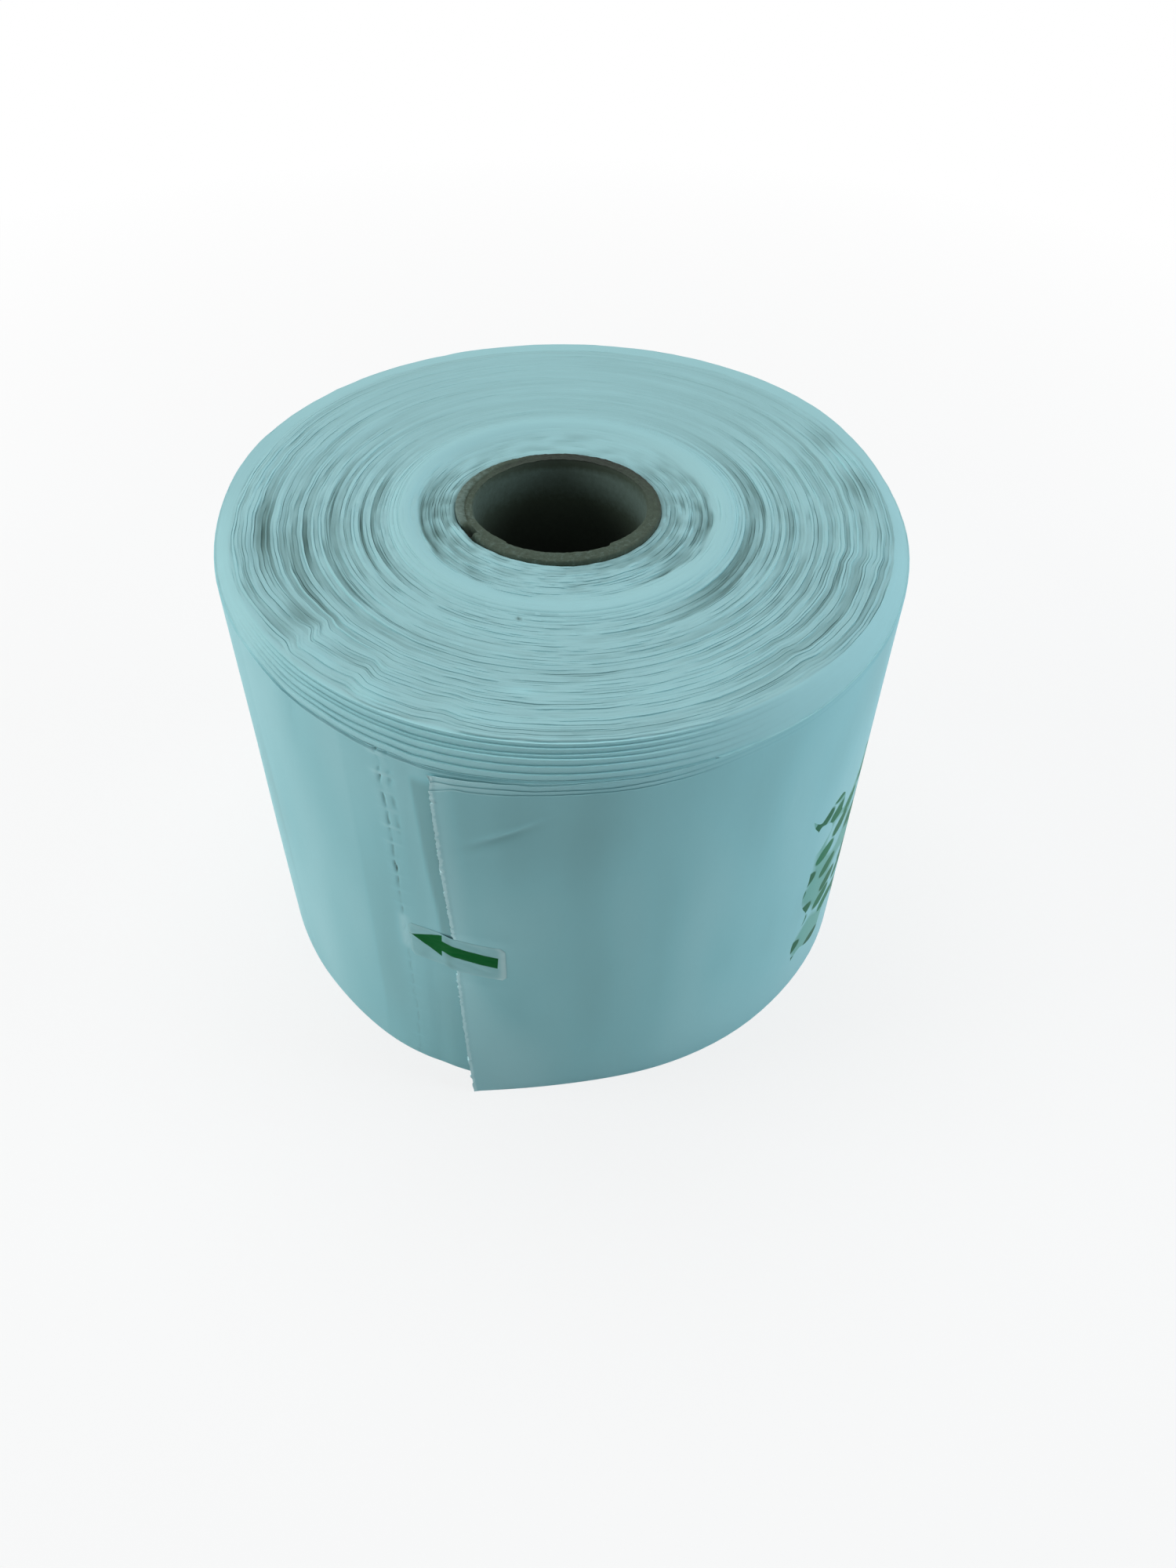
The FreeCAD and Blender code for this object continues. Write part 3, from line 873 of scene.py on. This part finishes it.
# The paperboard tube
tube = {
    "rimWear": 0.6,
    "seamPitch": 26.0,        # up the tube between two passes of the spiral seam
    "seamStep": 0.22,
    "columns": 240,
    "plyRadius": 20.8,        # between the outer ply and the rest
    "plyEnd": -66.0,          # where the outer ply ends in a slot
    "slotDepth": 2.6,
    "looseDrop": 0.3,         # of the other plies beside the loose one
    "missing": 0.5,           # of the outer ply, torn off in front of the slot
    "split": 0.2,             # depth of the crack between the plies
    "burr": 0.5,              # of the cut edge into the bore, at the front
    "wholeBurr": 0.7,         # and more of it where it isn't worn back
    "worn": (-38.0, 35.0),    # the inner edge is worn back between these angles
    "fuzz": 0.16,
    "backShade": 0.48,        # painted shade: how much darker the rim is at the back
    "rightShade": 0.2,        # and the painted shade on the outer ply at the right
    # painted shade in the slot
    "slotShade": 0.5,
    "loosePale": 0.24,        # where the outer ply stands loose
    "boreLight": 0.12,        # painted light: how much paler the mouth of the bore is
    "boreLightLeft": 0.14,
    # painted shade deeper in the bore
    "boreShade": 0.4,
    "board": "#79918a",       # grey chipboard, where it is rubbed, and the painted light at the mouth of the bore
    "boardPlain": "#3b4a3c",
    # the darkest shade: painted shade deep in the bore and at the back of the rim
    "inside": "#192119",
    "fibre": 1.2,             # mm across the clumps of fibres that show
    "roughness": 0.85,
    "ior": 1.5,
}


def tubeRings():              # (radius, height), up the outside, over the rim, down the bore
    wear = tube["rimWear"]
    top, foot = tubeHigh.z, tubeLow.z
    rings = [(tubeRadius, foot + wear), (tubeRadius, foot + 40), (tubeRadius, top - 8)]
    rings += [(tubeRadius, top - 4 + i * 0.8) for i in range(5)]
    rings += [(tubeRadius - 0.15, top - 0.2)]
    rings += [(tubeRadius - 0.35 - i * 0.2, top) for i in range(13)]
    rings += [(boreRadius + 0.15, top - 0.3), (boreRadius, top - 0.8)]
    rings += [(boreRadius, top - 1.6 - i * 2.0) for i in range(49)]
    rings += [(boreRadius + wear, foot), (tubeRadius - wear, foot)]
    return rings


def wornAndShadedRim(radius, angle, onRim):    # how much a point goes out, goes up and gets paler, with painted shade at the back, the right, the slot and the split
    fromEnd = apart(angle, tube["plyEnd"])
    fromFront = apart(angle, 0)
    plies = tube["plyRadius"]
    outerPly = ease(radius, plies - 0.15, plies + 0.15)
    # the outer ply stands apart at the left and ends in a slot
    loose = ease(-fromEnd, 0, 8) * (1 - ease(-fromEnd, 70, 110))
    split = bell(radius - plies, 0.28) * loose * (1 - ease(-fromEnd, 22, 48))
    slot = outerPly * bell(fromEnd - 2.5, 3.4)
    up = tube["fuzz"] * wander(angle, radius * 2, 14.0, 71.0)
    up += 0.12 * wander(angle, radius * 5, 40.0, 73.0) + tubeTilt(radius, angle)
    up -= tube["split"] * split + tube["slotDepth"] * slot
    up -= tube["looseDrop"] * loose * (1 - outerPly)
    missing = outerPly * ease(fromEnd, 3, 5) * (1 - ease(fromEnd, 8, 26))
    out = rimStretch(radius, angle) * ease(radius, plies, plies + 0.6) * ease(-fromEnd, 0, 6)
    out = onRim * (out - tube["missing"] * missing)
    start, end = tube["worn"]
    whole = 1 - ease(fromFront, start, start + 2.5) * (1 - ease(fromFront, end - 2.5, end))
    burr = tube["burr"] * bell(fromFront, 60) + tube["wholeBurr"] * whole * bell(fromFront, 62)
    out -= onRim * burr * (1 - ease(radius + out, 19.0, 21.0))
    # painted shade at the back of the rim, on the outer ply at the right, in the split and in the
    # slot
    darker = tube["backShade"] * bell(apart(angle, 172), 64)
    darker += tube["rightShade"] * ease(radius, 20.8, 21.8) * bell(apart(angle, 110), 60)
    paler = (tube["loosePale"] * outerPly + 0.05) * loose
    paler -= 0.08 * split + tube["slotShade"] * slot + onRim * darker
    return out, onRim * up, paler


def paperTube():
    rings = tubeRings()
    columns = tube["columns"]
    top = tubeHigh.z

    def place(column, row):
        angle = 360 * column / columns
        radius, height = rings[row]
        shade = 0.5
        onRim = ease(height, top - 3, top - 0.5)
        if onRim > 0:
            out, up, paler = wornAndShadedRim(radius, angle, onRim)
            radius, height, shade = radius + out, height + up, shade + paler
        deep = top - height
        inBore = radius < boreRadius + 0.2
        if inBore and deep > 1:
            climb = (height / tube["seamPitch"] - angle / 360) % 1
            radius += tube["seamStep"] * (ease(climb, 0, 0.03) - climb)
        if inBore:
            # painted light at the mouth of the bore, painted shade deeper in it
            lit = tube["boreLight"] + tube["boreLightLeft"] * bell(apart(angle, 145), 75)
            shade += lit * (1 - ease(deep, 6.0, 16.0)) * ease(deep, 0.2, 1.0)
            shade -= tube["boreShade"] * ease(deep, 2.0, 28.0)
        return leanOnRoll(radius, angle, height, radius), shade, 0.35 if inBore else 1.0

    bm = bendRing(columns, len(rings), place)
    look = "greyPaperboard", paperboard
    finishPiece("paperTube", bm, look, "core_tube", 60)


def paperboard(tree):
    # Grey chipboard, spiral wound: dull, fibrous and a little darker in its pores; its inside is
    # darkened by painted shade.
    coords = addNode(tree, "TexCoord")
    fibres = addNode(tree, "TexNoise", links={"Vector": coords.outputs["Object"]},
                     Scale=1 / (tube["fibre"] * mm), Detail=4.0, Roughness=0.7)
    colours = tube["inside"], tube["boardPlain"], tube["board"]
    tint, bump = patterned(tree, fibres, (0.3, 0.7, 0.15), fibres, colours, 0.6, 0.3)
    return addNode(tree, "BsdfPrincipled", links={"Base Color": tint, "Normal": bump},
                   Roughness=tube["roughness"], IOR=tube["ior"])


# The closing tape
tape = {
    "length": 22.0,
    "width": 11.5,
    "thickness": 0.12,
    "cornerRound": 0.9,       # degrees that the corners are drawn in by
    "offFilm": 0.03,
    "pucker": 0.16,
    "climb": (-3.0, 0.1),     # degrees from the loose edge between which it goes up over it
    "edgeShade": 0.25,        # painted shade at its step over the loose edge
    "endPale": 0.34,          # of its right end
    "columns": 84,
    "rows": 44,
    "colour": "#97c9cd",      # the film seen through the matt tape
    "colourDeep": "#6b8f8f",
    "colourPale": "#c2e4e6",
    "arrowGreen": "#005e28",
    "arrowTip": (-26.0, 48.2),     # angle, and height over the floor
    "arrowEnd": (-10.6, 46.6),
    "headLength": 7.4,
    "headHalf": 4.0,
    "shaftHalf": 1.9,
    "roughness": 0.6,
    "ior": 1.5,               # of polypropylene
    "gloss": 0.05,            # specular level: its face is matt
}


def tapeAlong(angle):         # mm from the loose edge to the right
    return arc(angle - build["tailAngle"])


def closingTape():
    left = -math.degrees(math.asin(-tapeLow.x / (rollRadius - build["turnStep"])))
    right = -math.degrees(math.asin(-tapeHigh.x / rollRadius))
    edge = build["tailAngle"]
    columns, rows = tape["columns"], tape["rows"]

    def place(column, row, onBack):
        across, up = column / columns, row / rows
        corner = tape["cornerRound"] * ease(abs(up - 0.5), 0.36, 0.5) ** 2
        angle = left + (right - left) * across + corner * (0.7 - 1.4 * across)
        height = tapeLow.z + (tapeHigh.z - tapeLow.z) * up
        under = surfaceRadius(angle + 360, height) + wrinkles(angle + 360, height)
        over = surfaceRadius(angle, height) + wrinkles(angle, height)
        start, end = tape["climb"]
        climb = ease(angle, edge + start, edge + end)
        radius = under + (over - under) * climb + tape["offFilm"]
        pucker = ripple(angle * 0.35, height * 0.55, 5.0)
        fromRight = (1 - across) * tape["length"]
        nearEdge = min(across * tape["length"], fromRight,
                       up * tape["width"], (1 - up) * tape["width"])
        radius += tape["pucker"] * abs(pucker) * ease(nearEdge, 0, 3)
        if not onBack:            # pressed down thin along its edges
            radius += tape["thickness"] * (0.3 + 0.7 * ease(nearEdge, 0, 0.5))
        shade = 0.5 + 0.1 * bell(nearEdge, 0.6) + tape["endPale"] * bell(fromRight - 0.5, 0.9)
        # painted shade at the step over the loose edge, and painted light and shade following the
        # puckers
        shade -= tape["edgeShade"] * bell(angle - edge + 1.2, 1.0) + 0.1 * pucker
        return onRoll(radius, angle, height), shade, (tapeAlong(angle), height)

    bm = bendSheet(columns, rows, place, "tapeMap")
    look = "mattPolypropyleneTape", mattTape
    finishPiece("closingTape", bm, look, "closing_tape", 60)


def arrowMask(tree, place):
    tip = Vector((tapeAlong(tape["arrowTip"][0]), tape["arrowTip"][1]))
    end = Vector((tapeAlong(tape["arrowEnd"][0]), tape["arrowEnd"][1]))
    way = end - tip
    turned = addNode(tree, "Mapping", {"vector_type": "TEXTURE"}, {"Vector": place},
                     Location=(*tip, 0.0), Rotation=(0.0, 0.0, math.atan2(way.y, way.x)))
    parts = addNode(tree, "SeparateXYZ", links={0: turned})
    off = addNode(tree, "Math", {"operation": "ABSOLUTE"}, {0: parts.outputs["Y"]})
    head = addNode(tree, "MapRange", links={"Value": parts.outputs["X"]}, From_Min=0.0,
                   From_Max=tape["headLength"], To_Min=0.0, To_Max=tape["headHalf"])
    pastHead = addNode(tree, "Math", {"operation": "GREATER_THAN"}, {0: parts.outputs["X"]},
                       i1=tape["headLength"])
    pastEnd = addNode(tree, "Math", {"operation": "GREATER_THAN"}, {0: parts.outputs["X"]},
                      i1=way.length)
    half = addNode(tree, "Math", {"operation": "MULTIPLY_ADD"}, {0: pastHead, 2: head},
                   i1=tape["shaftHalf"] - tape["headHalf"])
    halfHere = addNode(tree, "Math", {"operation": "MULTIPLY_ADD"}, {0: pastEnd, 2: half},
                       i1=-2 * tape["headHalf"])
    spare = addNode(tree, "Math", {"operation": "SUBTRACT"}, {0: halfHere, 1: off})
    return addNode(tree, "MapRange", links={"Value": spare}, From_Min=-0.12, From_Max=0.12)


def mattTape(tree):
    # Matt polypropylene tape over the film: duller than the film, whitened along its edges,
    # with a pull arrow printed on it in green.
    place = addNode(tree, "UVMap", {"uv_map": "tapeMap"})
    carried = addNode(tree, "Attribute", {"attribute_name": "shade"})
    tint = shadeColour(tree, carried.outputs["Fac"],
                       tape["colourDeep"], tape["colour"], tape["colourPale"])
    inked = addNode(tree, "Mix", {"data_type": "RGBA"},
                    {"Factor": arrowMask(tree, place), 6: tint}, i7=linear(tape["arrowGreen"]))
    return addNode(tree, "BsdfPrincipled", links={"Base Color": inked.outputs[2]},
                   Roughness=tape["roughness"], IOR=tape["ior"], Specular_IOR_Level=tape["gloss"])


# Floor, light and camera
studio = {
    "floorSize": 8000.0,
    "floorColour": "#f4f4f4",
    "floorGlow": 0.8,             # share of the floor's look that is plain white
    "plainFrom": (220.0, 520.0),  # from here outwards it goes over to white alone
    "skyStrength": 0.13,
    "cameraAt": (0.0, -225.44, 263.09),
    "cameraTo": (6.72, 0.0, 24.35),
    "cameraRoll": 1.343,
    "lens": 28.07,
    # name, place, size, watts, colour: each aims at the middle of the roll
    "lamps": (
        ("topLamp", (-60.0, 260.0, 900.0), 700.0, 3.9, "#ffffff"),
        ("leftLamp", (-850.0, -60.0, 350.0), 520.0, 3.9, "#faffff"),
        ("rightLamp", (850.0, -60.0, 350.0), 520.0, 3.8, "#e6f6ff"),
        ("frontLamp", (80.0, -900.0, 420.0), 520.0, 0.5, "#ffffff"),
    ),
}


def seenPlain(tree):          # the rays to which the backdrop looks plain white
    path = addNode(tree, "LightPath")
    seen = addNode(tree, "Math", {"operation": "MAXIMUM"},
                   {0: path.outputs["Is Camera Ray"], 1: path.outputs["Is Glossy Ray"]})
    return path, seen


def floorMaterial(tree):
    # Pale matt paper backdrop, which the camera and reflections see as nearly plain white.
    path, seen = seenPlain(tree)
    seenAll = addNode(tree, "Math", {"operation": "MAXIMUM"},
                      {0: seen, 1: path.outputs["Is Transmission Ray"]})
    coords = addNode(tree, "TexCoord")
    away = addNode(tree, "VectorMath", {"operation": "LENGTH"}, {0: coords.outputs["Object"]})
    plainFrom, plainTo = studio["plainFrom"]
    share = addNode(tree, "MapRange", links={"Value": away.outputs["Value"]},
                    From_Min=plainFrom * mm, From_Max=plainTo * mm, To_Min=studio["floorGlow"])
    shown = addNode(tree, "Math", {"operation": "MULTIPLY"}, {0: seenAll, 1: share})
    matt = addNode(tree, "BsdfDiffuse", Color=linear(studio["floorColour"]))
    glow = addNode(tree, "Emission", Strength=1.0)
    return addNode(tree, "MixShader", links={0: shown, 1: matt, 2: glow})


def makeFloor():
    bm = bmesh.new()
    bmesh.ops.create_grid(bm, x_segments=1, y_segments=1, size=studio["floorSize"] / 2 * mm)
    floor = addMesh("studioFloor", bm, ("paleStudioFloor", floorMaterial))


def makeSky():
    sky = bpy.data.worlds.new("studioSky")
    scene.world = sky
    sky.use_nodes = True
    tree = sky.node_tree
    tree.nodes.clear()
    strength = addNode(tree, "MapRange", links={"Value": seenPlain(tree)[1]},
                       To_Min=studio["skyStrength"], To_Max=1.0)
    glow = addNode(tree, "Background", links={"Strength": strength})
    addNode(tree, "OutputWorld", links={"Surface": glow})


def aim(thing, place, target, roll=0.0):
    thing.location = Vector(place) * mm
    way = (Vector(target) - Vector(place)).to_track_quat("-Z", "Y")
    thing.rotation_mode = "QUATERNION"
    thing.rotation_quaternion = way @ Quaternion((0, 0, 1), math.radians(roll))


def makeLamps():
    for name, place, size, watts, colour in studio["lamps"]:
        lamp = bpy.data.lights.new(name, "AREA")
        lamp.shape = "DISK"
        lamp.size = size * mm
        lamp.energy = watts
        lamp.color = linear(colour)[:3]
        aim(addObject(name, lamp), place, (0.0, 0.0, crownHeight / 2))


def makeCamera():
    lens = bpy.data.cameras.new("studioCamera")
    lens.lens = studio["lens"]
    lens.clip_start = 10 * mm
    camera = addObject("studioCamera", lens)
    aim(camera, studio["cameraAt"], studio["cameraTo"], studio["cameraRoll"])
    scene.camera = camera


makeFloor()
makeSky()
makeLamps()
makeCamera()
scene.view_settings.view_transform = "Standard"
print("studio ready")
woundTurns()
lastTurnPiece()
paperTube()
closingTape()
